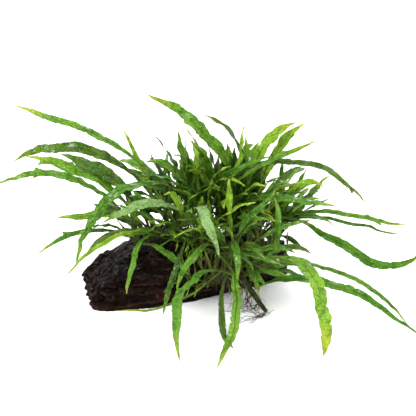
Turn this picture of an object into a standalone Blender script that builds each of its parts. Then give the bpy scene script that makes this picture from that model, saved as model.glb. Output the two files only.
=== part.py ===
"""A java fern growing on a piece of driftwood: the wood, two creeping rhizomes, a root clump and the
fronds, each frond one solid. Metres, +Z up; the origin is the middle of the wood's flat underside."""

import math

import bmesh
import bpy
from mathutils import Matrix, Vector, noise
from mathutils.bvhtree import BVHTree

MM = 0.001
GAP = 0.3 * MM

WOOD_LENGTH = 147 * MM
WOOD_WIDTH = 58 * MM
WOOD_HEIGHT = 43.5 * MM
WOOD_YAW = math.radians(15)
WOOD_LUMPS = 3.0 * MM
WOOD_LEDGES = 2.4 * MM
WOOD_CUTS = (30, 9, 7)
WOOD_ROUNDING = 0.42
WOOD_MIDDLE = (0.62, 0.38)
WOOD_END_DRAW = 0.10
BLUNT_END = 0.90
RIDGE_SHARE = 0.32
RIDGE_EASE = 0.7
LOW_END = 0.30
NARROW_LEFT = 0.86
TAPER_FROM = 0.42
TAPER_EASE = 1.2
TAPER_WIDTH = 0.68
TAPER_HEIGHT = 0.52
WOOD_BOW = 9 * MM
GRAIN_SCALE = (18, 60, 60)
LUMP_SCALE = 32
LEDGE_SCALE = (34, 75, 130)
GRAIN_SHARE, LUMP_PART = 0.6, 0.9
GRAIN_SHIFT = Vector((3.1, 0.0, 0.0))
LUMP_SHIFT = Vector((7.7, 2.0, 0.0))

RHIZOME_RADIUS = 2.6 * MM
CREEP_REACH = 16 * MM
CREEP_EASE = 8 * MM
CREEP_SINK = 0.85
BUD_TAPER = 0.50
BUD_RINGS = 6
RHIZOME_FRONT = [(-34, -16, 45), (-4, -22, 47), (21, -30, 37), (38, -33, 16), (50, -46, 3.6)]
RHIZOME_BACK = [(-18, 2, 51), (8, 7, 51), (30, 13, 44), (50, 19, 34), (64, 24, 27)]

ROOT_CLUMP_MIDDLE = Vector((26, -44, 0)) * MM
ROOT_CLUMP_REACH = Vector((15, 11, 8)) * MM

STALK_WIDTH = 1.4 * MM
BLADE_THICKNESS = 0.8 * MM
TIP_WIDTH = 1.2 * MM
FROND_RINGS = 14
STALK_SHARE = 0.30
FACE_FRONT = 50
FLOOR_CLEARANCE = 0.6 * MM
SWAY_TURNS = range(-36, 37, 2)
SWAY_LIFTS = range(-21, 40, 3)
LIFT_COST = 1.3

# Each frond: place along its rhizome, length in mm, lean above level at foot, middle and tip in degrees,
# compass heading at foot and tip in degrees (0 is +X, 90 is +Y), and blade width in mm.
FRONT_RHIZOME_FRONDS = {
    "frond_left_01": (0.02, 118, (66, 26, -30), (192, 198), 4.4),
    "frond_left_02": (0.06, 102, (72, 34, 10), (184, 190), 6.6),
    "frond_left_03": (0.10, 86, (78, 40, 14), (182, 178), 7.2),
    "frond_left_04": (0.12, 70, (50, 8, 0), (190, 198), 5.0),
    "frond_left_05": (0.02, 76, (48, 14, -36), (194, 200), 3.2),
    "frond_left_06": (0.10, 48, (22, 14, 8), (176, 172), 8.5),
    "frond_left_07": (0.16, 60, (30, -5, -50), (206, 214), 5.0),
    "frond_left_08": (0.20, 84, (32, -10, -35), (214, 222), 3.0),
    "frond_left_09": (0.34, 84, (88, 10, -18), (210, 214), 6.4),
    "frond_front_01": (0.14, 62, (38, -28, -78), (246, 252), 4.6),
    "frond_front_03": (0.00, 48, (28, -18, -45), (318, 330), 4.5),
    "frond_front_04": (0.76, 117, (44, -12, -52), (210, 288), 6.4),
    "frond_front_05": (0.32, 68, (30, -42, -60), (268, 230), 4.0),
    "frond_front_06": (0.62, 84, (-12, -14, 10), (234, 178), 1.7),
    "frond_front_07": (0.44, 109, (4, -28, -36), (308, 230), 6.0),
    "frond_front_08": (0.66, 72, (6, -40, -30), (244, 304), 4.2),
    "frond_front_09": (0.54, 60, (58, -20, -70), (232, 238), 4.5),
    "frond_front_10": (0.40, 92, (92, 6, -64), (252, 306), 7.0),
    "frond_front_12": (0.60, 52, (86, -10, -84), (282, 275), 5.0),
    "frond_front_15": (0.58, 58, (68, 50, 58), (342, 350), 4.5),
    "frond_front_16": (0.78, 66, (60, 85, 115), (350, 350), 5.0),
    "frond_front_17": (0.78, 50, (36, 4, -26), (350, 342), 7.0),
    "frond_front_18": (0.68, 128, (36, -10, -74), (331, 254), 8.4),
    "frond_front_19": (0.84, 134, (30, -14, -20), (344, 318), 5.0),
    "frond_front_20": (0.73, 122, (28, -17, -46), (350, 326), 3.0),
    "frond_front_21": (0.64, 60, (86, 84, 80), (350, 350), 7.0),
}
BACK_RHIZOME_FRONDS = {
    "frond_left_10": (0.06, 141, (78, 30, 21), (180, 184), 4.8),
    "frond_left_11": (0.00, 126, (66, 22, -40), (178, 184), 6.0),
    "frond_left_12": (0.205, 130, (76, -18, -84), (206, 214), 7.4),
    "frond_left_13": (0.03, 70, (48, 72, 50), (172, 172), 3.5),
    "frond_back_01": (0.11, 54, (58, 36, 10), (160, 155), 8.6),
    "frond_back_02": (0.52, 52, (84, 80, 70), (70, 60), 8.6),
    "frond_back_03": (0.68, 62, (78, 60, 20), (40, 30), 8.6),
    "frond_back_04": (0.33, 84, (58, 10, -34), (112, 106), 6.6),
    "frond_back_05": (0.61, 92, (68, 22, -34), (84, 78), 6.2),
    "frond_back_06": (0.785, 80, (60, 16, -34), (58, 52), 5.6),
    "frond_back_07": (0.14, 84, (54, 14, -30), (134, 128), 6.0),
    "frond_top_01": (0.58, 122, (98, 52, 30), (180, 190), 8.6),
    "frond_top_02": (0.425, 72, (90, 76, 54), (186, 186), 7.6),
    "frond_top_03": (0.55, 94, (66, 108, 174), (10, 10), 6.2),
    "frond_top_04": (0.49, 74, (84, 78, 74), (350, 350), 6.6),
    "frond_top_05": (0.24, 56, (88, 85, 110), (10, 10), 5.0),
    "frond_top_06": (0.30, 60, (80, 56, -15), (180, 180), 6.5),
    "frond_top_07": (0.17, 52, (70, 60, 65), (168, 168), 6.0),
    "frond_top_08": (0.27, 72, (78, 36, 18), (352, 352), 3.5),
    "frond_right_01": (0.75, 134, (48, -26, 84), (338, 334), 6.4),
    "frond_right_02": (0.455, 88, (54, 8, -4), (336, 340), 6.6),
    "frond_right_03": (0.82, 106, (48, -5, 7), (350, 350), 3.4),
    "frond_right_04": (0.87, 96, (46, -10, 5), (352, 352), 2.4),
    "frond_right_05": (0.36, 136, (78, 7, -58), (350, 350), 4.2),
    "frond_right_06": (0.645, 90, (86, 68, 10), (5, 0), 6.6),
    "frond_right_07": (0.715, 88, (82, 65, 30), (12, 6), 5.6),
    "frond_right_08": (0.39, 100, (76, 34, 38), (358, 355), 4.2),
    "frond_right_09": (0.91, 56, (80, 82, 88), (20, 20), 4.5),
    "frond_right_10": (0.95, 60, (80, 55, -50), (0, 0), 7.0),
    "frond_right_11": (0.99, 46, (72, 50, 60), (5, 5), 6.5),
}


def clear_scene():
    for item in list(bpy.data.objects):
        bpy.data.objects.remove(item, do_unlink=True)


def plain_material(name, colour, roughness):
    material = bpy.data.materials.new(name)
    material.use_nodes = True
    shader = material.node_tree.nodes["Principled BSDF"]
    shader.inputs["Base Color"].default_value = (*colour, 1.0)
    shader.inputs["Roughness"].default_value = roughness
    shader.inputs["Metallic"].default_value = 0.0
    return material


def add_part(name, bm, material, collection):
    """Makes one closed solid of the parts collection from a bmesh."""
    bmesh.ops.recalc_face_normals(bm, faces=bm.faces)
    mesh = bpy.data.meshes.new(name)
    bm.to_mesh(mesh)
    bm.free()
    mesh.materials.append(material)
    mesh.shade_smooth()
    mesh.set_sharp_from_angle(angle=math.radians(50))
    part = bpy.data.objects.new(name, mesh)
    collection.objects.link(part)
    return part


def smooth_route(points, steps):
    """Points of a Catmull-Rom curve through the given points, in metres."""
    knots = [Vector(p) * MM for p in points]
    knots = [2 * knots[0] - knots[1], *knots, 2 * knots[-1] - knots[-2]]
    route = []
    for a, b, c, d in zip(knots, knots[1:], knots[2:], knots[3:]):
        for i in range(steps):
            t = i / steps
            bend = 2 * a - 5 * b + 4 * c - d
            turn = 3 * b - a - 3 * c + d
            route.append(0.5 * (2 * b + (c - a) * t + bend * t**2 + turn * t**3))
    route.append(knots[-2])
    return route


def wood_outline(share):
    """Half width and height of the wood at a share of its length, as parts of its full sizes, and its bow."""
    shoulder = min(1.0, share / RIDGE_SHARE) ** RIDGE_EASE
    taper = max(0.0, (share - TAPER_FROM) / (1 - TAPER_FROM)) ** TAPER_EASE
    half = (NARROW_LEFT + (1 - NARROW_LEFT) * shoulder) * (1.0 - TAPER_WIDTH * taper) / 2
    height = (LOW_END + (1 - LOW_END) * shoulder) * (1.0 - TAPER_HEIGHT * taper)
    return half, height, WOOD_BOW * taper**2


def worn(place, outward):
    """How far the wood stands out or in at a place: long grain, round lumps and layered ledges."""
    grain = noise.noise(place * Vector(GRAIN_SCALE) + GRAIN_SHIFT)
    lump = noise.noise(place * LUMP_SCALE + LUMP_SHIFT)
    ledge = noise.cell(place * Vector(LEDGE_SCALE))
    return outward * (WOOD_LUMPS * (GRAIN_SHARE * grain + LUMP_PART * lump) + WOOD_LEDGES * (ledge - 0.5))


def make_driftwood(collection):
    """A block, subdivided and drawn into a rugged wedge, then cut off flat underneath."""
    bm = bmesh.new()
    bmesh.ops.create_cube(bm, size=1.0)
    for axis, cuts in enumerate(WOOD_CUTS):
        edges = [e for e in bm.edges if abs((e.verts[0].co - e.verts[1].co).normalized()[axis]) > 0.9]
        bmesh.ops.subdivide_edges(bm, edges=edges, cuts=cuts, use_grid_fill=True)
    for vert in bm.verts:
        x, y, z = vert.co * 2
        half, height, bow = wood_outline((x + 1) / 2)
        ring = Vector((0, y * math.sqrt(1 - z * z / 2), z * math.sqrt(1 - y * y / 2)))
        section = Vector((0, y, z)).lerp(ring, WOOD_ROUNDING)
        end = max(0.0, abs(x) - BLUNT_END) / (1 - BLUNT_END)
        section *= 1.0 - WOOD_END_DRAW * end
        scale, rise = WOOD_MIDDLE
        place = Vector((
            x * WOOD_LENGTH / 2,
            section.y * half * WOOD_WIDTH + bow,
            (section.z * scale + rise) * height * WOOD_HEIGHT,
        ))
        outward = Vector((0, section.y, section.z)).normalized()
        vert.co = place + worn(place, outward)
    bmesh.ops.transform(bm, matrix=Matrix.Rotation(WOOD_YAW, 4, "Z"), verts=bm.verts)
    everything = bm.verts[:] + bm.edges[:] + bm.faces[:]
    cut = bmesh.ops.bisect_plane(
        bm, geom=everything, dist=1e-7, plane_co=(0, 0, 0), plane_no=(0, 0, 1), clear_inner=True
    )
    rim = [e for e in cut["geom_cut"] if isinstance(e, bmesh.types.BMEdge)]
    bmesh.ops.contextual_create(bm, geom=rim)
    bmesh.ops.triangulate(bm, faces=bm.faces)
    wood = plain_material("wet_driftwood", (0.045, 0.018, 0.013), 0.35)
    return add_part("driftwood", bm, wood, collection)


def creeping_route(points, wood):
    """The route laid on the wood's surface where it runs near it, and left to hang free beyond."""
    surface = tree_of_part(wood)
    route = []
    for place in smooth_route(points, 4):
        nearest, outward, _, distance = surface.find_nearest(place)
        hold = min(1.0, max(0.0, (CREEP_REACH - distance) / CREEP_EASE))
        route.append(place.lerp(nearest + outward * RHIZOME_RADIUS * CREEP_SINK, hold))
    return route


def make_rhizome(name, points, wood, material, collection):
    """A bevelled tube along the wood, with whatever would enter the wood cut away from it."""
    curve = bpy.data.curves.new(name, "CURVE")
    curve.dimensions = "3D"
    curve.bevel_depth = RHIZOME_RADIUS
    curve.bevel_resolution = 2
    curve.use_fill_caps = True
    route = creeping_route(points, wood)
    spline = curve.splines.new("POLY")
    spline.points.add(len(route) - 1)
    for i, (point, place) in enumerate(zip(spline.points, route)):
        point.co = (*place, 1.0)
        point.radius = 1.0 - BUD_TAPER * max(0.0, 1 - (len(route) - 1 - i) / BUD_RINGS)
    tube = bpy.data.objects.new(name, curve)
    collection.objects.link(tube)
    mesh = bpy.data.meshes.new_from_object(tube.evaluated_get(bpy.context.evaluated_depsgraph_get()))
    bpy.data.objects.remove(tube, do_unlink=True)
    bm = bmesh.new()
    bm.from_mesh(mesh)
    bmesh.ops.remove_doubles(bm, verts=bm.verts, dist=1e-6)
    part = add_part(name, bm, material, collection)
    cut = part.modifiers.new("clear_of_wood", "BOOLEAN")
    cut.operation = "DIFFERENCE"
    cut.object = wood
    return part, route


def make_roots(material, collection):
    """A low dome on the ground that reaches as far as the tips of the roots."""
    bm = bmesh.new()
    bmesh.ops.create_uvsphere(bm, u_segments=16, v_segments=8, radius=1.0)
    everything = bm.verts[:] + bm.edges[:] + bm.faces[:]
    cut = bmesh.ops.bisect_plane(
        bm, geom=everything, dist=1e-5, plane_co=(0, 0, 0), plane_no=(0, 0, 1), clear_inner=True
    )
    rim = [e for e in cut["geom_cut"] if isinstance(e, bmesh.types.BMEdge)]
    bmesh.ops.contextual_create(bm, geom=rim)
    for vert in bm.verts:
        vert.co = Vector(a * b for a, b in zip(vert.co, ROOT_CLUMP_REACH)) + ROOT_CLUMP_MIDDLE
    return add_part("roots", bm, material, collection)


def through_three(values, share):
    """A smooth value that passes through foot, middle and tip values."""
    foot, middle, tip = values
    past = 1 - share
    return foot * past * (1 - 2 * share) + middle * 4 * share * past + tip * share * (2 * share - 1)


def place_on(route, share):
    """The point and direction at a share of a route's length."""
    lengths = [(b - a).length for a, b in zip(route, route[1:])]
    left = min(max(share, 0.0), 0.9999) * sum(lengths)
    for (a, b), length in zip(zip(route, route[1:]), lengths):
        if left <= length:
            return a.lerp(b, left / length), (b - a).normalized()
        left -= length
    return route[-1].copy(), (route[-1] - route[-2]).normalized()


def heading_vector(lean, heading):
    lean, heading = math.radians(lean), math.radians(heading)
    return Vector((math.cos(lean) * math.cos(heading), math.cos(lean) * math.sin(heading), math.sin(lean)))


def blade_width(share, width):
    """Round stalk, then a blade that is widest past its middle and runs out to a point."""
    if share < STALK_SHARE:
        return STALK_WIDTH
    along = (share - STALK_SHARE) / (1 - STALK_SHARE)
    return max(TIP_WIDTH, STALK_WIDTH + (width - STALK_WIDTH) * math.sin(math.pi * along**0.85) ** 0.85)


def frond_rings(route, frond, turn, lift, spare):
    """The rings of four corners of one frond; spare is added all round for clearance."""
    share_on, length, leans, headings, width = frond
    middle, along = place_on(route, share_on)
    leans = (leans[0] + lift, leans[1] + lift, leans[2])
    headings = (headings[0] + turn, headings[1] + turn)
    start = heading_vector(leans[0], headings[0])
    outward = start - along * start.dot(along)
    outward.normalize()
    tilt = math.sqrt(max(0.0, 1 - start.dot(outward) ** 2))
    place = middle + outward * (RHIZOME_RADIUS + 2 * GAP + tilt * STALK_WIDTH / 2)
    step = length * MM / (FROND_RINGS - 1)
    rings = []
    for i in range(FROND_RINGS):
        share = i / (FROND_RINGS - 1)
        heading = headings[0] + (headings[1] - headings[0]) * share
        way = heading_vector(through_three(leans, share), heading)
        side = heading_vector(0, heading + 90)
        roll = math.radians(FACE_FRONT) * math.cos(math.radians(heading)) * min(1.0, share / STALK_SHARE)
        side.rotate(Matrix.Rotation(roll, 3, way))
        face = way.cross(side)
        half = blade_width(share, width * MM) / 2 + spare
        thick = (STALK_WIDTH if share < STALK_SHARE else BLADE_THICKNESS) / 2 + spare
        low = min((side * s * half + face * f * thick).z for s, f in ((1, 0), (-1, 0), (0, 1), (0, -1)))
        place.z = max(place.z, FLOOR_CLEARANCE + spare - low)
        rings.append([place + side * half, place + face * thick, place - side * half, place - face * thick])
        place = place + way * step
    return rings


def ring_faces(count):
    """Quads between neighbouring rings, with a cap at each end."""
    faces = [(3, 2, 1, 0)]
    for i in range(count - 1):
        for k in range(4):
            a, b = 4 * i + k, 4 * i + (k + 1) % 4
            faces.append((a, b, b + 4, a + 4))
    last = 4 * (count - 1)
    faces.append((last, last + 1, last + 2, last + 3))
    return faces


def tree_of(verts, faces):
    return BVHTree.FromPolygons(verts, faces)


def tree_of_part(part):
    shape = part.evaluated_get(bpy.context.evaluated_depsgraph_get()).to_mesh()
    return tree_of([v.co.copy() for v in shape.vertices], [tuple(p.vertices) for p in shape.polygons])


def sways():
    """Small turns and lifts in degrees, the gentlest first."""
    pairs = [(turn, lift) for turn in SWAY_TURNS for lift in SWAY_LIFTS]
    return sorted(pairs, key=lambda p: (abs(p[0]) + LIFT_COST * abs(p[1]), p))


def make_frond(name, route, frond, placed, material, collection):
    """One frond, swayed just enough to hang clear of the wood and of the fronds before it."""
    faces = ring_faces(FROND_RINGS)
    for turn, lift in sways():
        rings = frond_rings(route, frond, turn, lift, GAP)
        test = tree_of([v for ring in rings for v in ring], faces)
        if not any(test.overlap(other) for other in placed):
            break
    else:
        raise ValueError("no clear place for " + name)
    bm = bmesh.new()
    corners = [bm.verts.new(v) for ring in frond_rings(route, frond, turn, lift, 0.0) for v in ring]
    for face in faces:
        bm.faces.new([corners[i] for i in face])
    bmesh.ops.triangulate(bm, faces=bm.faces)
    part = add_part(name, bm, material, collection)
    placed.append(tree_of_part(part))


def main():
    clear_scene()
    plant = bpy.data.collections.new("java_fern_on_driftwood")
    bpy.context.scene.collection.children.link(plant)
    wood = make_driftwood(plant)
    stem = plain_material("rhizome_green_brown", (0.09, 0.10, 0.03), 0.5)
    leaf = plain_material("frond_green", (0.09, 0.28, 0.03), 0.35)
    wiry = plain_material("root_brown", (0.05, 0.025, 0.012), 0.6)
    front, front_route = make_rhizome("rhizome_front", RHIZOME_FRONT, wood, stem, plant)
    back, back_route = make_rhizome("rhizome_back", RHIZOME_BACK, wood, stem, plant)
    roots = make_roots(wiry, plant)
    bpy.context.view_layer.update()
    placed = [tree_of_part(part) for part in (wood, front, back, roots)]
    for route, fronds in ((front_route, FRONT_RHIZOME_FRONDS), (back_route, BACK_RHIZOME_FRONDS)):
        for name, frond in fronds.items():
            make_frond(name, route, frond, placed, leaf, plant)


main()
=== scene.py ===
"""A java fern growing on a piece of wet driftwood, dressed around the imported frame. Metres, +Z up."""

import math
import random

import bmesh
import bpy
from mathutils import Matrix, Vector, noise
from mathutils.bvhtree import BVHTree


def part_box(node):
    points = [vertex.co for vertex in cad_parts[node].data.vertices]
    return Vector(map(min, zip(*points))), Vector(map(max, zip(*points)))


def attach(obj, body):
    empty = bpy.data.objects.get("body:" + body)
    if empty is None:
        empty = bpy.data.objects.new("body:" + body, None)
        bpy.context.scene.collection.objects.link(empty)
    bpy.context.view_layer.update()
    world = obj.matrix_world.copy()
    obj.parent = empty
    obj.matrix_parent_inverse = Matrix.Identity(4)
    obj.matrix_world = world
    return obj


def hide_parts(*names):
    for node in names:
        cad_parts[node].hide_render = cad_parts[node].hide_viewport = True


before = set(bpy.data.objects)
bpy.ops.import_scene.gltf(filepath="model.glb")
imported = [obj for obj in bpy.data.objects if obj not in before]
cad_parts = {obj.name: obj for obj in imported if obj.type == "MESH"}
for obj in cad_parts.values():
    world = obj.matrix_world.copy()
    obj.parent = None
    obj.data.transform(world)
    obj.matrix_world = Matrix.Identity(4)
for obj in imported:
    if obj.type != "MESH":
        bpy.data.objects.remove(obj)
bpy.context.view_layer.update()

MM = 0.001

# ---------------------------------------------------------------------------------------------------------
# Driftwood. One old, dark, water-logged piece of wood, wet all over, made from its solid by remeshing it and
# wearing long fibres, layers, cracks and pits into it. Its ends are torn and it is cut off flat underneath,
# where it rests. It carries everything else.
# ---------------------------------------------------------------------------------------------------------
WOOD_VOXEL = 0.68 * MM
END_SLICE = 10 * MM
FIBRE_DEPTH = 1.0 * MM
GROOVE_SHARE = 1.3
STRAND_SHARE = 0.55
PIT_SHARE = 1.8
LAYER_SHARE = 0.8
CRACK_DEPTH = 1.7 * MM
CRACK_WIDTH = 0.07
LUMP_HEIGHT = 1.2 * MM
END_TEAR = 3.0 * MM
TORN_LENGTH = 6 * MM
TORN_EASE = 10 * MM
FLAT_MARGIN = 1.5 * MM
# Painted shade in the grooves and cracks: the least of it, and the depth at which it is full.
LEAST_CREASE_SHADE = 0.15
FULL_SHADE_DEPTH = 1.9 * MM
# Noise scales along, across and up the grain, in cycles a metre.
FIBRE_SCALE = (40, 230, 250)
STRAND_SCALE = (110, 560, 600)
CRACK_SCALE = (16, 90, 110)
LAYER_SCALE = (20, 40, 210)
TEAR_SCALE = (0, 190, 190)
LUMP_SCALE = 45
PIT_SCALE = 210
STREAK_STRETCH = (24.0, 260.0, 260.0)
FINE_STREAK_STRETCH = (90.0, 1500.0, 1500.0)
# The dark wood colour, also used as the painted shade in grooves and cracks.
WOOD_DARK_AND_SHADE = (0.0030, 0.0014, 0.0008)
WOOD_RED = (0.046, 0.0165, 0.0085)
# Painted highlight: the grey sheen of wet wood.
WOOD_HIGHLIGHT_GREY = (0.080, 0.054, 0.034)


class Shade:
    """A socket of a material's nodes, with the sums that the finishes below are written in."""

    def __init__(self, tree, socket):
        self.tree, self.socket = tree, socket

    def node(self, kind, settings=None, **sockets):
        """Any node of the same material: its settings, then a value or a Shade for each socket, which is
        called by its name or, as i0, i1 and so on, by its number."""
        made = self.tree.nodes.new(kind)
        for key, value in (settings or {}).items():
            setattr(made, key, value)
        for key, value in sockets.items():
            target = made.inputs[int(key[1:])] if key[1:].isdigit() else made.inputs[key.replace("_", " ")]
            if isinstance(value, Shade):
                self.tree.links.new(value.socket, target)
            else:
                colour = len_of(value) == 3 and target.type == "RGBA"
                target.default_value = (*value, 1.0) if colour else value
        return made

    def of(self, made, output=0):
        """An output of a node, as a Shade."""
        return Shade(self.tree, made.outputs[output])

    def sum(self, operation, a, b):
        return self.of(self.node("ShaderNodeMath", {"operation": operation}, i0=a, i1=b))

    def __add__(self, other):
        return self.sum("ADD", self, other)

    def __mul__(self, other):
        return self.sum("MULTIPLY", self, other)

    def __rsub__(self, other):
        return self.sum("SUBTRACT", other, self)

    __radd__ = __add__
    __rmul__ = __mul__

    def clear(self, low, high):
        """0 below low and 1 above high, eased between them."""
        made = self.node("ShaderNodeMapRange", {"interpolation_type": "SMOOTHSTEP"}, i0=self, i1=low, i2=high)
        return self.of(made)

    def mixed(self, a, b):
        """Colour a where this is 0 and colour b where it is 1."""
        return self.of(self.node("ShaderNodeMix", {"data_type": "RGBA"}, i0=self, i6=a, i7=b), 2)

    def grown(self, scale, detail=4.0, rough=0.55, warp=0.0):
        """Noise read at this vector."""
        made = self.node("ShaderNodeTexNoise", None, Vector=self, Scale=scale, Detail=detail, Roughness=rough,
                         Distortion=warp)
        return self.of(made)

    def stretched(self, scale, turn):
        """This vector turned back by a turn and stretched by a scale."""
        made = self.node("ShaderNodeMapping", {"vector_type": "TEXTURE"}, Vector=self, Rotation=turn)
        made = self.node("ShaderNodeMapping", None, Vector=self.of(made), Scale=scale)
        return self.of(made)


def len_of(value):
    """How many numbers a socket's value has, and 0 for a plain number or a Shade."""
    return len(value) if hasattr(value, "__len__") else 0


def new_finish(name, roughness, gloss=0.5, coat=0.0, coat_roughness=0.1):
    """A material with its Principled shader, and the Object coordinates to write patterns on."""
    material = bpy.data.materials.new(name)
    material.use_nodes = True
    tree = material.node_tree
    shader = tree.nodes["Principled BSDF"]
    shader.inputs["Roughness"].default_value = roughness
    shader.inputs["Specular IOR Level"].default_value = gloss
    shader.inputs["Coat Weight"].default_value = coat
    shader.inputs["Coat Roughness"].default_value = coat_roughness
    coords = tree.nodes.new("ShaderNodeTexCoord")
    return material, shader, Shade(tree, coords.outputs["Object"])


def feed(shader, name, shade):
    shade.tree.links.new(shade.socket, shader.inputs[name])


def raise_grain(shader, height, distance):
    """A bump map: height 1 stands this distance above height 0."""
    bump = height.node("ShaderNodeBump", None, Height=height, Distance=distance, Strength=1.0)
    feed(shader, "Normal", height.of(bump))


def deselect_all():
    for item in bpy.context.selected_objects:
        item.select_set(False)


def make_active(piece):
    deselect_all()
    piece.select_set(True)
    bpy.context.view_layer.objects.active = piece


def apply_modifier(piece, kind, **settings):
    make_active(piece)
    made = piece.modifiers.new(kind.title(), kind)
    for key, value in settings.items():
        setattr(made, key, value)
    bpy.ops.object.modifier_apply(modifier=made.name)


def welded_copy(node, name):
    """A copy of a CAD node's loose triangles, merged into one skin."""
    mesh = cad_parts[node].data.copy()
    piece = bpy.data.objects.new(name, mesh)
    mesh.materials.clear()
    bpy.context.scene.collection.objects.link(piece)
    bm = bmesh.new()
    bm.from_mesh(mesh)
    bmesh.ops.remove_doubles(bm, verts=bm.verts, dist=1e-6)
    bm.to_mesh(mesh)
    bm.free()
    return piece


def skin_of(piece):
    """The piece's surface, to find nearest points on."""
    points = [v.co for v in piece.data.vertices]
    return BVHTree.FromPolygons(points, [p.vertices for p in piece.data.polygons])


def finish_piece(piece, material, slot, *nodes):
    """Gives a finished piece its material and its place in the frame."""
    piece.data.materials.clear()
    piece.data.materials.append(material)
    for face in piece.data.polygons:
        face.use_smooth = True
    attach(piece, "root")
    if nodes:
        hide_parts(*nodes)


def store(piece, name, kind, values):
    """A value for each point of the piece, which its material reads."""
    attribute = piece.data.attributes.new(name, kind, "POINT")
    key = "color" if kind == "FLOAT_COLOR" else "value"
    attribute.data.foreach_set(key, [n for v in values for n in (v if key == "color" else (v,))])


def grain_noise(place, scale, shift=(0, 0, 0)):
    """Noise at a place given along, across and up the grain. The shift tells one layer of it from another."""
    return noise.noise(Vector([p * s + d for p, s, d in zip(place, scale, shift)]))


wood_lowest, wood_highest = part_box("driftwood")
driftwood = welded_copy("driftwood", "driftwood_wet")
ends = [
    sum(near, Vector()) / len(near)
    for near in (
        [v.co for v in driftwood.data.vertices if v.co.x < wood_lowest.x + END_SLICE],
        [v.co for v in driftwood.data.vertices if v.co.x > wood_highest.x - END_SLICE],
    )
]
WOOD_HEADING = math.atan2(ends[1].y - ends[0].y, ends[1].x - ends[0].x)
half_wood = (ends[1] - ends[0]).length / 2
apply_modifier(driftwood, "REMESH", mode="VOXEL", voxel_size=WOOD_VOXEL)
along_grain = Matrix.Rotation(-WOOD_HEADING, 3, "Z")
crease_shade = []
normals = [v.normal.copy() for v in driftwood.data.vertices]
for vert, normal in zip(driftwood.data.vertices, normals):
    place = along_grain @ vert.co
    fibre = grain_noise(place, FIBRE_SCALE)
    strand = grain_noise(place, STRAND_SCALE, (0, 9, 0))
    crack = abs(grain_noise(place, CRACK_SCALE, (4, 0, 0)))
    lump = noise.fractal(vert.co * LUMP_SCALE, 0.8, 2.0, 3)
    pit = max(0.0, noise.noise(vert.co * PIT_SCALE) - 0.15)
    groove = max(0.0, fibre - 0.02) ** 0.8
    layer = 1 - 2 * abs(grain_noise(place, LAYER_SCALE, (3, 0, 0)))
    split = max(0.0, 1.0 - crack / CRACK_WIDTH)
    worn = GROOVE_SHARE * groove + STRAND_SHARE * strand + PIT_SHARE * pit + LAYER_SHARE * layer
    sunk = FIBRE_DEPTH * worn + CRACK_DEPTH * split
    side = Vector((normal.x, normal.y, max(normal.z, 0.0)))
    hold = min(1.0, max(0.0, vert.co.z) / FLAT_MARGIN)
    near_end = max(0.0, (abs(place.x) - half_wood + TORN_LENGTH) / TORN_EASE)
    torn = END_TEAR * near_end * (grain_noise(place, TEAR_SCALE, (7, 0, 0)) - 0.25)
    moved = side * (LUMP_HEIGHT * lump - sunk) * hold
    moved += (along_grain.transposed() @ Vector((math.copysign(1.0, place.x), 0, 0))) * torn
    vert.co += moved
    vert.co.z = max(vert.co.z, wood_lowest.z)
    # Painted shade: each point is darkened the deeper it is sunk into grooves, pits and cracks.
    crease_shade.append(min(1.0, max(0.0, LEAST_CREASE_SHADE + sunk / FULL_SHADE_DEPTH)))
store(driftwood, "sunk", "FLOAT", crease_shade)

wet_wood, shader, place = new_finish("wet_wood", 0.45, gloss=0.05)
streak = place.stretched(STREAK_STRETCH, (0.0, 0.0, WOOD_HEADING)).grown(1.0, 6.0, 0.65, 0.3)
fine_streak = place.stretched(FINE_STREAK_STRETCH, (0.0, 0.0, WOOD_HEADING)).grown(1.0, 4.0, 0.7)
patch = place.grown(55.0, 4.0, 0.6)
sunk = place.of(place.node("ShaderNodeAttribute", {"attribute_name": "sunk"}), 2)
crumb = place.grown(700.0, 4.0, 0.75)
colour = streak.clear(0.42, 0.56).mixed(WOOD_DARK_AND_SHADE, WOOD_RED)
# Painted highlight: a grey sheen laid in fine streaks over patches of the wood.
colour = (fine_streak.clear(0.52, 0.68) * patch.clear(0.44, 0.60) * 0.5).mixed(colour, WOOD_HIGHLIGHT_GREY)
colour = (crumb.clear(0.46, 0.58) * 0.7).mixed(colour, WOOD_DARK_AND_SHADE)
# Painted shade: the wood is painted darker where it sinks into grooves, pits and cracks.
colour = (sunk.clear(0.20, 0.80) * 0.9).mixed(colour, WOOD_DARK_AND_SHADE)
feed(shader, "Base Color", colour)
feed(shader, "Roughness", 0.34 + 0.34 * patch.clear(0.35, 0.65))
wet_spots = place.grown(420.0, 6.0, 0.8).clear(0.56, 0.64)
feed(shader, "Coat Weight", wet_spots)
raise_grain(shader, streak * 0.8 + fine_streak * 0.7 + crumb * 1.2, 2.2 * MM)
finish_piece(driftwood, wet_wood, "wood", "driftwood")
wood_skin = skin_of(driftwood)

# ---------------------------------------------------------------------------------------------------------
# Rhizomes. The creeping stems of the fern: tough, green to brown, knobbly with old stalk scars and covered
# in papery brown scales. They grip the wood by their roots and the fronds grow straight out of them.
# ---------------------------------------------------------------------------------------------------------
RHIZOME_VOXEL = 0.32 * MM
SCAR_HEIGHT = 0.45 * MM
LEAST_HEIGHT = 0.1 * MM
RHIZOME_GREEN = (0.026, 0.052, 0.005)
RHIZOME_BROWN = (0.014, 0.007, 0.002)

def roughen(rhizome, height, scar_scale, chip_scale):
    """Pushes a rhizome's skin in and out: broad old scars, and smaller chips over them."""
    for vert in rhizome.data.vertices:
        knot = noise.noise(vert.co * scar_scale) + 0.5 * noise.noise(vert.co * chip_scale)
        vert.co += vert.normal * height * knot
        vert.co.z = max(vert.co.z, LEAST_HEIGHT)


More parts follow.
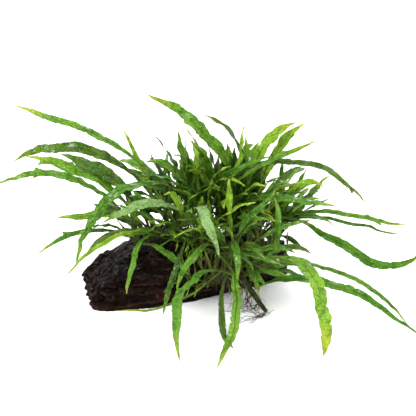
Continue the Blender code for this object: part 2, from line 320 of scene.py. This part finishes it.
rhizome_bark, shader, place = new_finish("rhizome_bark", 0.5, gloss=0.08, coat=0.05)
scales = place.of(place.node("ShaderNodeTexVoronoi", {"feature": "F1"}, Vector=place, Scale=620.0))
blotch = place.grown(260.0, 5.0, 0.6)
colour = blotch.clear(0.40, 0.62).mixed(RHIZOME_GREEN, RHIZOME_BROWN)
feed(shader, "Base Color", (scales.clear(0.45, 0.8) * 0.6).mixed(colour, RHIZOME_BROWN))
feed(shader, "Roughness", 0.38 + 0.3 * blotch)
raise_grain(shader, scales * -1.0 + blotch, 0.5 * MM)
for node in ("rhizome_front", "rhizome_back"):
    rhizome = welded_copy(node, node + "_scaly")
    apply_modifier(rhizome, "REMESH", mode="VOXEL", voxel_size=RHIZOME_VOXEL)
    roughen(rhizome, SCAR_HEIGHT, 260, 620)
    finish_piece(rhizome, rhizome_bark, "rhizome", node)

# ---------------------------------------------------------------------------------------------------------
# Roots. Wiry brown fibres as thin as thread that leave the underside of the rhizomes, cling to the wood,
# and bunch on the ground under the hanging end.
# ---------------------------------------------------------------------------------------------------------
ROOT_THICK = 0.26 * MM
ROOT_THIN = 0.09 * MM
ROOT_STEP = 1.5 * MM
ROOT_WANDER = 0.42
ROOT_FALL = 0.16
ROOT_CLING = 0.3 * MM
ROOT_GROUND = 0.45 * MM
LINE_SLICES = 24
LINE_POINTS = 16
CLUMP_FIBRES = 52
CLINGING_FIBRES = 70
HANGING_SLICES = 11
ROOT_BROWN = (0.030, 0.014, 0.007)
ROOT_TAN = (0.110, 0.060, 0.028)


def line_of(node):
    """Middle points of a rhizome from its left end to its right end."""
    low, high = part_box(node)
    points = [v.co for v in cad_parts[node].data.vertices]
    line = []
    for i in range(LINE_SLICES):
        x = low.x + (high.x - low.x) * (i + 0.5) / LINE_SLICES
        near = sorted(points, key=lambda p: abs(p.x - x))[:LINE_POINTS]
        line.append(sum(near, Vector()) / len(near))
    return line


def root_route(start, way, steps, rng):
    """A fibre that wanders downwards, keeps on the wood's surface, and spreads out on the ground."""
    route = [start.copy()]
    place = start.copy()
    for _ in range(steps):
        way = way + Vector((rng.uniform(-1, 1), rng.uniform(-1, 1), rng.uniform(-1, 1))) * ROOT_WANDER
        way.z -= ROOT_FALL
        way.normalize()
        place = place + way * ROOT_STEP
        nearest, outward, _, _ = wood_skin.find_nearest(place)
        if (place - nearest).dot(outward) < ROOT_CLING:
            place = nearest + outward * ROOT_CLING
        if place.z < ROOT_GROUND:
            place.z = rng.uniform(0.35, 0.7) * MM
            way.z = rng.uniform(0.0, 0.3)
        route.append(place.copy())
    return route


def tubes(name, routes, thick, thin):
    """Many thin tapered tubes in one mesh."""
    curve = bpy.data.curves.new(name, "CURVE")
    curve.dimensions = "3D"
    curve.bevel_depth = 1.0
    curve.bevel_resolution = 1
    curve.use_fill_caps = True
    for route in routes:
        spline = curve.splines.new("POLY")
        spline.points.add(len(route) - 1)
        for i, (point, place) in enumerate(zip(spline.points, route)):
            point.co = (*place, 1.0)
            point.radius = thick + (thin - thick) * i / (len(route) - 1)
    piece = bpy.data.objects.new(name, curve)
    bpy.context.scene.collection.objects.link(piece)
    make_active(piece)
    bpy.ops.object.convert(target="MESH")
    return bpy.context.object


rng = random.Random(41)
front_line, back_line = line_of("rhizome_front"), line_of("rhizome_back")
root_low, root_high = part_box("roots")
routes = []
for _ in range(CLUMP_FIBRES):
    start = rng.choice(front_line[-HANGING_SLICES:])
    start = start + Vector((rng.uniform(-1, 1), rng.uniform(-1, 1), -1.4)) * MM
    aim = Vector((rng.uniform(root_low.x, root_high.x), rng.uniform(root_low.y, root_high.y), 0)) - start
    routes.append(root_route(start, aim.normalized(), rng.randint(9, 20), rng))
for line in (front_line, back_line):
    for _ in range(CLINGING_FIBRES):
        start = rng.choice(line) + Vector((rng.uniform(-1.5, 1.5), rng.uniform(-1.5, 1.5), -0.8)) * MM
        way = Vector((rng.uniform(-1, 1), rng.choice((-1, 1)), -0.3)).normalized()
        routes.append(root_route(start, way, rng.randint(5, 15), rng))
roots = tubes("roots_wiry", routes, ROOT_THICK, ROOT_THIN)
root_fibre, shader, place = new_finish("root_fibre", 0.6)
feed(shader, "Base Color", place.grown(300.0, 3.0, 0.6).clear(0.45, 0.7).mixed(ROOT_BROWN, ROOT_TAN))
raise_grain(shader, place.grown(2500.0, 2.0), 0.1 * MM)
finish_piece(roots, root_fibre, "roots", "roots")

# ---------------------------------------------------------------------------------------------------------
# Fronds. Each is one leaf, a thin wiry stalk that widens into a long strap of a blade with a raised midrib, a
# ruffled and often nicked margin, and a wet shine. Old ones are dark, young ones lime; the dark tone is also
# painted shade on fronds at the back and deep in the clump, and a pale sage tone is a painted sheen on a few
# that face up. It is a grid laid along the middle line of its own solid and thickened.
# ---------------------------------------------------------------------------------------------------------
STALK_END = 0.27
FROND_STATION = 1.15 * MM
FROND_COLUMNS = 14
STALK_THICKNESS = 1.15 * MM
RIB_THICKNESS = 0.85
EDGE_THICKNESS = 0.26
SWAY_REACH = 2.2 * MM
BLADE_BEFORE = 0.05
BLADE_AFTER = 0.12
FEWEST_ROWS = 20
LEAST_HALF = 0.3 * MM
LEAST_GAP = 0.15 * MM
MARGIN_SWELL = 0.26
MARGIN_RAGGED = 0.18
NICK_DEPTH = 0.70
RIB_WIDTH = 0.14
EDGE_WAVE = 0.6 * MM
EDGE_CRUMPLE = 0.5 * MM
FULL_TURN = 6.283
# Noise scales along a frond, in cycles a metre.
TWIST_SCALE = 22
SWAY_SCALE = 46
ARCH_SCALE = 50
SWELL_SCALE = 80
RAGGED_SCALE = 340
NICK_SCALE = 420
CRUMPLE_SCALE = 260
MOTTLE_SCALE = 60
STAIN_SCALE = 120
# A dark green for old fronds, also used as painted shade on fronds at the back and deep inside the clump.
DARK_GREEN_AND_SHADE = (0.016, 0.074, 0.004)
GREEN = (0.052, 0.200, 0.010)
LIME = (0.250, 0.460, 0.024)
YELLOW = (0.480, 0.520, 0.035)
# Painted sheen: a pale grey-green for fronds whose upper face catches the light.
SAGE_SHEEN = (0.190, 0.330, 0.110)
OLIVE = (0.085, 0.100, 0.016)
RIB_BROWN = (0.075, 0.024, 0.006)
LEAF_GLOW = (0.130, 0.320, 0.014)
LEAF_THINNESS = 0.22


def blend_colour(a, b, share):
    """Colour a at share 0 and colour b at share 1."""
    share = min(1.0, max(0.0, share))
    return tuple(x + (y - x) * share for x, y in zip(a, b))


def eased(low, high, value):
    """0 at low and 1 at high, eased between them. With low above high it falls instead of rising."""
    t = min(1.0, max(0.0, (value - low) / (high - low)))
    return t * t * (3 - 2 * t)


def frond_stations(node):
    """The frond's middle line, half width and side direction at each ring of its solid, foot first."""
    bm = bmesh.new()
    bm.from_mesh(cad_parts[node].data)
    bmesh.ops.remove_doubles(bm, verts=bm.verts, dist=1e-6)
    rings = None
    for edge in bm.edges:
        cap = {v for face in edge.link_faces for v in face.verts}
        if len(cap) != 4:
            continue
        seen, levels = set(cap), [list(cap)]
        while levels[-1]:
            reached = {k.other_vert(v) for v in levels[-1] for k in v.link_edges} - seen
            seen |= reached
            levels.append(list(reached))
        levels.pop()
        if all(len(level) == 4 for level in levels) and 4 * len(levels) == len(bm.verts):
            rings = [[v.co.copy() for v in level] for level in levels]
            break
    bm.free()
    if rings is None:
        raise ValueError("cannot read the rings of " + node)
    rings = [sorted(ring, key=lambda p: tuple(p)) for ring in rings]

    def slimness(ring):
        middle = sum(ring, Vector()) / 4
        return min((p - middle).length for p in ring)

    if slimness(rings[0]) < slimness(rings[-1]):
        rings.reverse()
    middles = [sum(ring, Vector()) / 4 for ring in rings]
    widths = [max((p - m).length for p in ring) for ring, m in zip(rings, middles)]
    start = widths.index(max(widths))
    sides = [None] * len(rings)
    widest = max(rings[start], key=lambda p: (p - middles[start]).length)
    sides[start] = (widest - middles[start]).normalized()
    for order in (range(start + 1, len(rings)), range(start - 1, -1, -1)):
        for i in order:
            last = sides[i - 1] if i > start else sides[i + 1]
            sides[i] = max(((p - middles[i]).normalized() for p in rings[i]), key=lambda d: d.dot(last))
    return middles, sides, widths


def read_between(values, share):
    """A smooth value between stations that are spread evenly from 0 to 1."""
    place = min(max(share, 0.0), 1.0) * (len(values) - 1)
    i = min(int(place), len(values) - 2)
    t = place - i
    b, c = values[i], values[i + 1]
    a = values[i - 1] if i > 0 else b * 2 - c
    d = values[i + 2] if i + 2 < len(values) else c * 2 - b
    return (b * 2 + (c - a) * t + (a * 2 - b * 5 + c * 4 - d) * t**2 + (b * 3 - a - c * 3 + d) * t**3) * 0.5


def wobble(run, scale, a, b):
    """Noise along a frond, told apart from its other noises by two numbers."""
    return noise.noise(Vector((run * scale, a, b)))


def grow_frond(name, stations, habit, seed, columns=FROND_COLUMNS):
    """A frond's mesh: a flat grid laid along the middle line, ruffled, nicked and lobed, then thickened."""
    middles, sides, widths = stations
    length = sum((b - a).length for a, b in zip(middles, middles[1:]))
    rng = random.Random(seed)
    lean = rng.uniform(-0.30, 0.42)
    phase = (rng.uniform(0, 6.28), rng.uniform(0, 6.28))
    wave = rng.uniform(8, 15) * MM
    ruffle = habit.get("ruffle", 1.0) * rng.uniform(0.7, 1.2)
    twist = rng.uniform(0.5, 1.0) * rng.choice((-1, 1)) * habit.get("twist", 0.85)
    stalk_end = habit.get("stalk", STALK_END)
    wide = habit.get("wide", 1.0)
    full_from, broad_to = habit.get("full_from", 0.55), habit.get("broad_to")
    lobes = habit.get("lobes", ())
    tone, young, tip_yellow = habit.get("tone", GREEN), habit.get("young", 0.2), habit.get("tip", 0.3)
    rows = max(FEWEST_ROWS, round(length / FROND_STATION))
    deselect_all()
    bpy.ops.mesh.primitive_grid_add(x_subdivisions=rows, y_subdivisions=columns, size=1.0)
    frond = bpy.context.object
    frond.name = frond.data.name = name
    spine = []
    for row in range(rows + 1):
        share = row / rows
        run = share * length
        way = (read_between(middles, share + 0.01) - read_between(middles, share - 0.01)).normalized()
        blade = eased(stalk_end - BLADE_BEFORE, stalk_end + BLADE_AFTER, share)
        side = read_between(sides, share)
        side = (side - way * side.dot(way)).normalized()
        turned = twist * blade * wobble(run, TWIST_SCALE, seed * 3.7, 0)
        side.rotate(Matrix.Rotation(2.0 * turned, 3, way))
        face = way.cross(side)
        middle = read_between(middles, share)
        middle += side * SWAY_REACH * blade * wobble(run, SWAY_SCALE, seed, 21)
        middle += face * SWAY_REACH * blade * wobble(run, ARCH_SCALE, seed, 11)
        half = read_between(widths, share)
        if broad_to:
            half = max(widths) * (0.22 + 0.78 * eased(stalk_end, full_from, share))
            half *= eased(1.06, broad_to, share)
        half = max(half * wide * (0.60 + 0.40 * eased(1.0, 0.80, share)), LEAST_HALF)
        half *= eased(1.03, 0.96, share)
        halves = []
        for hand in (0, 1):
            swell = MARGIN_SWELL * wobble(run, SWELL_SCALE, seed, hand * 5)
            ragged = MARGIN_RAGGED * wobble(run, RAGGED_SCALE, seed, hand * 9)
            nick = NICK_DEPTH * max(0.0, wobble(run, NICK_SCALE, seed, hand * 13) - 0.20)
            halves.append(half * (1 + blade * (swell + ragged - nick)))
        spine.append((run, middle, way, side, face, blade, halves))
    thickness = frond.vertex_groups.new(name="thickness")
    colours, ribs = [], []
    for vert in frond.data.vertices:
        share, across = vert.co.x + 0.5, vert.co.y * 2
        run, middle, way, side, face, blade, halves = spine[round(share * rows)]
        hand = 0 if across < 0 else 1
        edge = abs(across)
        half = halves[hand]
        outward = forward = 0.0
        for at, lobe_hand, lobe_reach, lobe_width in lobes:
            near = 1 - abs(share - at) * length / (lobe_width * MM)
            if lobe_hand == hand and near > 0:
                outward += lobe_reach * MM * 0.6 * near**1.6 * edge**2
                forward += lobe_reach * MM * 0.9 * near**1.6 * edge**2
        fade = blade * eased(1.0, 0.88, share)
        flutter = math.sin(FULL_TURN * run / wave + phase[hand])
        lift = (
            lean * half * edge**1.3 * blade
            + ruffle * fade * EDGE_WAVE * edge**2 * flutter
            + ruffle * fade * EDGE_CRUMPLE * edge * wobble(run, CRUMPLE_SCALE, seed, hand * 3)
        )
        reach = across * half + math.copysign(outward, across)
        vert.co = middle + side * reach + way * forward + face * lift
        rib = math.exp(-((across / RIB_WIDTH) ** 2))
        web = EDGE_THICKNESS + (RIB_THICKNESS - EDGE_THICKNESS) * rib * (1 - 0.7 * share)
        body = (1 - blade) + blade * web
        thickness.add([vert.index], body * eased(1.25, 0.85, share), "REPLACE")
        mottle = 0.5 + 0.5 * wobble(run, MOTTLE_SCALE, across * 0.8, seed * 2.3)
        colour = blend_colour(tone, LIME, young * (0.35 + 0.65 * mottle) * (0.25 + 1.0 * share))
        colour = blend_colour(colour, YELLOW, tip_yellow * eased(0.80, 1.0, share))
        stain = max(0.0, wobble(run, STAIN_SCALE, across * 2.5, seed * 5.1) - 0.35)
        colour = blend_colour(colour, RIB_BROWN, habit.get("stain", 1.2) * stain)
        colour = blend_colour(blend_colour(OLIVE, tone, 0.25), colour, blade)
        colours.append((*colour, 1.0))
        ribs.append(rib * blade * eased(1.05, 0.55, share) * habit.get("rib", 0.7))
    store(frond, "leaf_colour", "FLOAT_COLOR", colours)
    store(frond, "rib", "FLOAT", ribs)
    apply_modifier(frond, "SOLIDIFY", thickness=STALK_THICKNESS * habit.get("stout", 1.0), offset=0.0,
                   vertex_group="thickness", thickness_vertex_group=0.15)
    for vert in frond.data.vertices:
        vert.co.z = max(vert.co.z, LEAST_GAP)
    return frond


leaf, shader, place = new_finish("wet_leaf", 0.38, gloss=0.14, coat_roughness=0.08)
tree = place.tree
base = place.of(place.node("ShaderNodeAttribute", {"attribute_name": "leaf_colour"}), 0)
rib = place.of(place.node("ShaderNodeAttribute", {"attribute_name": "rib"}), 2)
cells = place.node("ShaderNodeTexVoronoi", {"feature": "DISTANCE_TO_EDGE"}, Vector=place, Scale=520.0)
veins = 1 - place.of(cells).clear(0.0, 0.11)
mottle = place.grown(230.0, 5.0, 0.65)
broad_mottle = place.grown(60.0, 4.0, 0.6)
speck = place.grown(760.0, 3.0, 0.7)
dark_of_base = place.of(place.node("ShaderNodeMix", {"data_type": "RGBA", "blend_type": "MULTIPLY"},
                                   i0=1.0, i6=base, i7=(0.25, 0.36, 0.24)), 2)
light_of_base = place.of(place.node("ShaderNodeMix", {"data_type": "RGBA", "blend_type": "SCREEN"},
                                    i0=1.0, i6=base, i7=(0.10, 0.145, 0.028)), 2)
colour = (mottle.clear(0.44, 0.60) * 0.75).mixed(base, dark_of_base)
colour = (broad_mottle.clear(0.46, 0.66) * 0.55).mixed(colour, light_of_base)
colour = (speck.clear(0.50, 0.64) * 0.75).mixed(colour, light_of_base)
dots = place.of(place.node("ShaderNodeTexVoronoi", {"feature": "F1"}, Vector=place, Scale=330.0))
sori = (1 - dots.clear(0.12, 0.22)) * place.grown(40.0, 2.0, 0.5).clear(0.52, 0.60)
colour = (sori * 0.6).mixed(colour, RIB_BROWN)
colour = (veins * 0.32).mixed(colour, dark_of_base)
colour = (rib.clear(0.25, 0.75) * 0.8).mixed(colour, RIB_BROWN)
feed(shader, "Base Color", colour)
feed(shader, "Roughness", 0.22 + 0.36 * mottle)
feed(shader, "Coat Weight", place.grown(150.0, 6.0, 0.7).clear(0.53, 0.61) * 0.9)
raise_grain(shader, veins * -0.6 + speck * 1.1 + mottle * 1.4 + rib, 0.55 * MM)
glow = place.node("ShaderNodeBsdfTranslucent", None, Color=LEAF_GLOW)
through = place.node("ShaderNodeMixShader", None, i0=LEAF_THINNESS)
tree.links.new(shader.outputs[0], through.inputs[1])
tree.links.new(glow.outputs[0], through.inputs[2])
tree.links.new(through.outputs[0], tree.nodes["Material Output"].inputs["Surface"])

# What sets a frond apart from its neighbours: its tone, how much of it is young lime growth, how yellow its
# tip is, how ruffled, twisted, stained and wide it is, how brown its rib and how stout its stalk is, and its
# lobes (place along, side, reach and width in mm). With broad_to it stays broad to that share of its length.
# The dark tone stands partly for old fronds and partly for painted shade on fronds at the back and inside.
HABITS = {
    "frond_left_01": dict(tone=GREEN, young=0.30, tip=0.3, wide=1.15,
                          lobes=((0.76, 1, 4, 2), (0.75, 0, 3, 2))),
    "frond_left_02": dict(tone=GREEN, young=0.55, tip=0.8, wide=1.15, twist=0.5,
                          lobes=((0.88, 1, 6, 3), (0.70, 0, 2, 2))),
    "frond_left_03": dict(tone=DARK_GREEN_AND_SHADE, young=0.15, tip=0.1, ruffle=1.6, wide=1.2, broad_to=0.80, twist=0.5),
    "frond_left_04": dict(tone=GREEN, young=0.70, tip=0.7),
    "frond_left_05": dict(tone=GREEN, young=0.25, tip=0.4, lobes=((0.7, 0, 4, 3),)),
    "frond_left_06": dict(tone=DARK_GREEN_AND_SHADE, young=0.10, tip=0.1),
    "frond_left_07": dict(tone=OLIVE, young=0.30, tip=0.6, ruffle=1.8, stain=3.0, wide=0.9),
    "frond_left_08": dict(tone=LIME, young=0.60, tip=0.8),
    "frond_left_09": dict(tone=SAGE_SHEEN, young=0.15, tip=0.2, rib=0.2),
    "frond_left_10": dict(tone=GREEN, young=0.40, tip=0.9, ruffle=0.7, broad_to=0.84),
    "frond_left_11": dict(tone=DARK_GREEN_AND_SHADE, young=0.35, tip=0.2, ruffle=1.5, wide=1.15, broad_to=0.84, twist=0.5),
    "frond_left_12": dict(tone=GREEN, young=0.15, tip=0.3, ruffle=1.3, rib=0.9),
    "frond_left_13": dict(tone=LIME, young=0.8, tip=0.8),
    "frond_front_01": dict(tone=GREEN, young=0.25, tip=0.4, lobes=((0.6, 0, 2, 2), (0.68, 0, 2, 2))),
    "frond_front_04": dict(tone=GREEN, young=0.25, tip=0.5, rib=0.3),
    "frond_front_05": dict(tone=DARK_GREEN_AND_SHADE, young=0.1, tip=0.1),
    "frond_front_06": dict(tone=OLIVE, young=0.9, tip=0.5, wide=0.8, stout=0.8, twist=0.2),
    "frond_front_07": dict(tone=GREEN, young=0.35, tip=0.6, rib=1.0),
    "frond_front_08": dict(tone=DARK_GREEN_AND_SHADE, young=0.2, tip=0.3, rib=1.0, ruffle=1.6),
    "frond_front_10": dict(tone=SAGE_SHEEN, young=0.0, tip=0.0, rib=0.2),
    "frond_front_17": dict(tone=GREEN, young=0.1, tip=0.1, ruffle=2.0),
    "frond_front_18": dict(tone=GREEN, young=1.0, tip=1.0, ruffle=0.9, broad_to=0.90, twist=0.2),
    "frond_front_19": dict(tone=GREEN, young=0.15, tip=0.2, stalk=0.05, full_from=0.2, broad_to=0.4,
                           wide=1.2),
    "frond_front_20": dict(tone=GREEN, young=0.25, tip=0.4),
    "frond_front_21": dict(tone=LIME, young=0.3, tip=0.3),
    "frond_back_01": dict(tone=DARK_GREEN_AND_SHADE, young=0.05, tip=0.0),
    "frond_back_02": dict(tone=DARK_GREEN_AND_SHADE, young=0.05, tip=0.0),
    "frond_back_03": dict(tone=DARK_GREEN_AND_SHADE, young=0.05, tip=0.0),
    "frond_back_04": dict(tone=DARK_GREEN_AND_SHADE, young=0.30, tip=0.3),
    "frond_back_05": dict(tone=GREEN, young=0.25, tip=0.4),
    "frond_back_06": dict(tone=DARK_GREEN_AND_SHADE, young=0.25, tip=0.3),
    "frond_back_07": dict(tone=GREEN, young=0.40, tip=0.6),
    "frond_top_01": dict(tone=GREEN, young=0.60, tip=0.8, wide=1.15, twist=0.4, lobes=((0.72, 0, 3, 4),)),
    "frond_top_02": dict(tone=GREEN, young=0.55, tip=0.5),
    "frond_top_03": dict(tone=DARK_GREEN_AND_SHADE, young=0.45, tip=0.9, wide=1.4, twist=0.2, broad_to=0.80),
    "frond_top_04": dict(tone=LIME, young=0.6, tip=0.9, wide=1.2, twist=0.1, broad_to=0.80),
    "frond_top_05": dict(tone=LIME, young=0.6, tip=0.8),
    "frond_top_07": dict(tone=DARK_GREEN_AND_SHADE, young=0.15, tip=0.1, lobes=((0.9, 1, 4, 2),)),
    "frond_right_01": dict(tone=GREEN, young=0.15, tip=0.3),
    "frond_right_03": dict(tone=GREEN, young=0.5, tip=0.9, lobes=((0.8, 1, 5, 2.5), (0.72, 0, 3, 2))),
    "frond_right_05": dict(tone=DARK_GREEN_AND_SHADE, young=0.15, tip=0.3, lobes=((0.9, 1, 4, 2),)),
    "frond_right_06": dict(tone=LIME, young=0.6, tip=0.8, ruffle=1.3, wide=1.2, twist=0.3, broad_to=0.80,
                           stain=2.5),
    "frond_right_07": dict(tone=LIME, young=0.6, tip=0.9, wide=1.2, twist=0.3, broad_to=0.80),
    "frond_right_08": dict(tone=GREEN, young=0.45, tip=0.7),
    "frond_right_10": dict(tone=LIME, young=0.5, tip=0.9),
    "frond_right_11": dict(tone=SAGE_SHEEN, young=0.3, tip=0.3),
}
frond_nodes = sorted(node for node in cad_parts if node.startswith("frond_"))
for seed, node in enumerate(frond_nodes):
    frond = grow_frond(node + "_leaf", frond_stations(node), HABITS.get(node, {}), seed + 1)
    finish_piece(frond, leaf, "frond", node)

# ---------------------------------------------------------------------------------------------------------
# Young fronds. Many thin stalks, most with a narrow blade, that fill the heart of the clump between the big
# fronds. They grow from the rhizomes and from a side branch of the front one that creeps along the wood's
# face, and they stay inside the reach of the big ones.
# ---------------------------------------------------------------------------------------------------------
YOUNG_COLUMNS = 6
YOUNG_STATIONS = 12
YOUNG_STALK = 0.35
STALK_HALF = 0.42
BRANCH_STATIONS = 15
BRANCH_THICK = 1.5 * MM
IN_FRONT = -0.3


def young_stations(foot, leans, headings, length, width):
    """A young frond's middle line, sides and half widths. It turns from its first lean to its last one."""
    middles, sides, widths = [], [], []
    place = foot.copy()
    for i in range(YOUNG_STATIONS):
        share = i / (YOUNG_STATIONS - 1)
        up = math.radians(leans[0] + (leans[1] - leans[0]) * share**1.3)
        turn = math.radians(headings[0] + (headings[1] - headings[0]) * share)
        way = Vector((math.cos(up) * math.cos(turn), math.cos(up) * math.sin(turn), math.sin(up)))
        middles.append(place.copy())
        sides.append((Vector((-math.sin(turn), math.cos(turn), 0)) + Vector((0.5, 0, 0.6))).normalized())
        blade = max(0.0, (share - YOUNG_STALK) / (1 - YOUNG_STALK))
        swell = math.sin(math.pi * blade**0.8) ** 0.8
        widths.append((STALK_HALF + max(0.0, width / 2 - STALK_HALF) * swell) * MM)
        place = place + way * length * MM / (YOUNG_STATIONS - 1)
    return middles, sides, widths


def front_face(x, z):
    """The place on the wood's front at a given x and height, and its outward direction."""
    hit, outward, _, _ = wood_skin.ray_cast(Vector((x, IN_FRONT, z)), Vector((0, 1, 0)))
    return hit, outward


branch_line = []
for i in range(BRANCH_STATIONS):
    share = i / (BRANCH_STATIONS - 1)
    hit, outward = front_face((2 + 56 * share) * MM, (9 + 5 * math.sin(3.1 * share)) * MM)
    branch_line.append(hit + outward * BRANCH_THICK * 0.8)
side_branch = tubes("rhizome_side_branch", [branch_line], BRANCH_THICK, BRANCH_THICK * 0.5)
apply_modifier(side_branch, "REMESH", mode="VOXEL", voxel_size=RHIZOME_VOXEL)
roughen(side_branch, SCAR_HEIGHT * 0.8, 300, 700)
finish_piece(side_branch, rhizome_bark, "rhizome")

# For each group: the lines it grows from, how many, then from and to for the heading, the length in mm, the
# lean at the foot, the lean at the tip and the width of blade in mm, and the tones it is picked from.
YOUNG_GROUPS = {
    "young_fronds_left": (front_line[:10] + back_line[:8], 34, (110, 250), (34, 66), (50, 85), (-40, 40),
                          (3.0, 6.4), (GREEN, DARK_GREEN_AND_SHADE, GREEN, LIME)),
    "young_fronds_middle": (front_line[8:18] + back_line[6:16], 40, (190, 350), (36, 66), (62, 92), (-40, 55),
                            (3.0, 6.6), (GREEN, DARK_GREEN_AND_SHADE, GREEN, LIME)),
    "young_fronds_right": (back_line[12:], 38, (-60, 50), (34, 68), (50, 85), (-40, 45),
                           (3.0, 6.4), (GREEN, DARK_GREEN_AND_SHADE, GREEN, LIME)),
    "young_fronds_back": (back_line, 44, (35, 145), (28, 66), (45, 85), (-45, 40),
                          (2.0, 5.4), (GREEN, DARK_GREEN_AND_SHADE, GREEN, LIME)),
    # Painted shade: the broad fronds deep inside the clump are mostly given the dark tone to stand for the
    # shade there.
    "painted_shade_fronds_inside": (back_line[4:20], 26, (10, 170), (36, 68), (70, 90), (40, 88),
                           (7.0, 10.0), (DARK_GREEN_AND_SHADE, DARK_GREEN_AND_SHADE, GREEN)),
    "stalks_front": (branch_line, 64, (205, 335), (24, 46), (25, 70), (75, 112),
                     (0.8, 1.5), (DARK_GREEN_AND_SHADE, OLIVE, OLIVE)),
    "stalks_upper": (front_line[:16], 30, (180, 350), (22, 44), (40, 80), (60, 100),
                     (0.8, 2.2), (DARK_GREEN_AND_SHADE, OLIVE, GREEN)),
    "stalks_back": (back_line[3:21], 40, (170, 350), (18, 40), (40, 85), (60, 110),
                    (0.8, 2.4), (DARK_GREEN_AND_SHADE, OLIVE, GREEN)),
    # Painted shade: the low fronds under the clump are mostly given the dark tone to stand for the shade
    # there.
    "low_fronds_painted_shade": (back_line[2:22] + front_line[:14], 40, (150, 380), (24, 38), (20, 60), (-50, 30),
                        (2.2, 4.0), (DARK_GREEN_AND_SHADE, DARK_GREEN_AND_SHADE, GREEN)),
    "young_fronds_front": (front_line[11:20], 16, (290, 375), (40, 62), (25, 65), (-60, 0),
                           (3.0, 5.0), (DARK_GREEN_AND_SHADE, GREEN, GREEN)),
    "stalks_looping": (branch_line + front_line[10:20], 18, (200, 340), (20, 36), (20, 60), (-90, -30),
                       (0.8, 1.3), (LIME, OLIVE)),
}
for group_seed, (name, group) in enumerate(YOUNG_GROUPS.items()):
    line, count, headings, lengths, foot_leans, tip_leans, widths, tones = group
    rng = random.Random(900 + group_seed)
    sprigs = []
    for k in range(count):
        foot = rng.choice(line) + Vector((rng.uniform(-1.5, 1.5), rng.uniform(-1.0, 1.0), 1.0)) * MM
        heading = rng.uniform(*headings)
        leans = (rng.uniform(*foot_leans), rng.uniform(*tip_leans))
        turn = (heading, heading + rng.uniform(-35, 35))
        stations = young_stations(foot, leans, turn, rng.uniform(*lengths), rng.uniform(*widths))
        fresh = 0.3 if name.startswith("stalks") else 1.0
        habit = dict(tone=rng.choice(tones), young=rng.uniform(0, 0.6) * fresh,
                     tip=rng.uniform(0, 0.7) * fresh, rib=rng.uniform(0.3, 1.0), stalk=YOUNG_STALK, stout=0.75)
        sprigs.append(grow_frond(f"{name}_{k}", stations, habit, 100 * group_seed + k + 60, YOUNG_COLUMNS))
    deselect_all()
    for sprig in sprigs:
        sprig.select_set(True)
    bpy.context.view_layer.objects.active = sprigs[0]
    bpy.ops.object.join()
    joined = bpy.context.object
    joined.name = joined.data.name = name
    finish_piece(joined, leaf, "frond")

# ---------------------------------------------------------------------------------------------------------
# Studio. A plain pale floor, an even pale room, soft lights at the front left, at the right and behind, and
# a long lens that looks a little down on the plant.
# ---------------------------------------------------------------------------------------------------------
FLOOR_SIZE = 30.0
FLOOR_PALE = (0.93, 0.93, 0.93, 1)
ROOM_LIGHT = 1.25
LIT_PLACE = Vector((0, 0, 0.04))
CAMERA_DISTANCE = 0.809
CAMERA_TILT = math.radians(22)
CAMERA_LENS = 100.0
CAMERA_AIM = Vector((11.6 * MM, 54.6 * MM * math.sin(CAMERA_TILT), 54.6 * MM * math.cos(CAMERA_TILT)))

deselect_all()
bpy.ops.mesh.primitive_plane_add(size=FLOOR_SIZE, location=(0, 0, 0))
floor = bpy.context.object
floor.name = "floor"
pale, shader, _ = new_finish("pale_floor", 0.6)
shader.inputs["Base Color"].default_value = FLOOR_PALE
floor.data.materials.append(pale)

world = bpy.data.worlds.new("soft_room")
bpy.context.scene.world = world
world.use_nodes = True
background = world.node_tree.nodes["Background"]
background.inputs["Color"].default_value = (1, 1, 1, 1)
background.inputs["Strength"].default_value = ROOM_LIGHT


def soft_light(name, place, size, power):
    light = bpy.data.lights.new(name, "AREA")
    light.size, light.energy = size, power
    lamp = bpy.data.objects.new(name, light)
    bpy.context.scene.collection.objects.link(lamp)
    lamp.location = place
    lamp.rotation_euler = (LIT_PLACE - Vector(place)).to_track_quat("-Z", "Y").to_euler()


soft_light("key", (-0.35, -0.45, 0.95), 0.6, 13.0)
soft_light("fill", (0.8, -0.4, 0.6), 0.8, 4.0)
soft_light("rim", (0.1, 0.9, 0.7), 0.8, 7.0)

camera = bpy.data.objects.new("camera", bpy.data.cameras.new("camera"))
bpy.context.scene.collection.objects.link(camera)
camera.data.lens = CAMERA_LENS
back = Vector((0, -math.cos(CAMERA_TILT), math.sin(CAMERA_TILT)))
camera.location = CAMERA_AIM + back * CAMERA_DISTANCE
camera.rotation_euler = (-back).to_track_quat("-Z", "Y").to_euler()
camera.data.clip_start = 0.01
camera.data.clip_end = 60.0
bpy.context.scene.camera = camera
bpy.context.scene.view_settings.view_transform = "Standard"
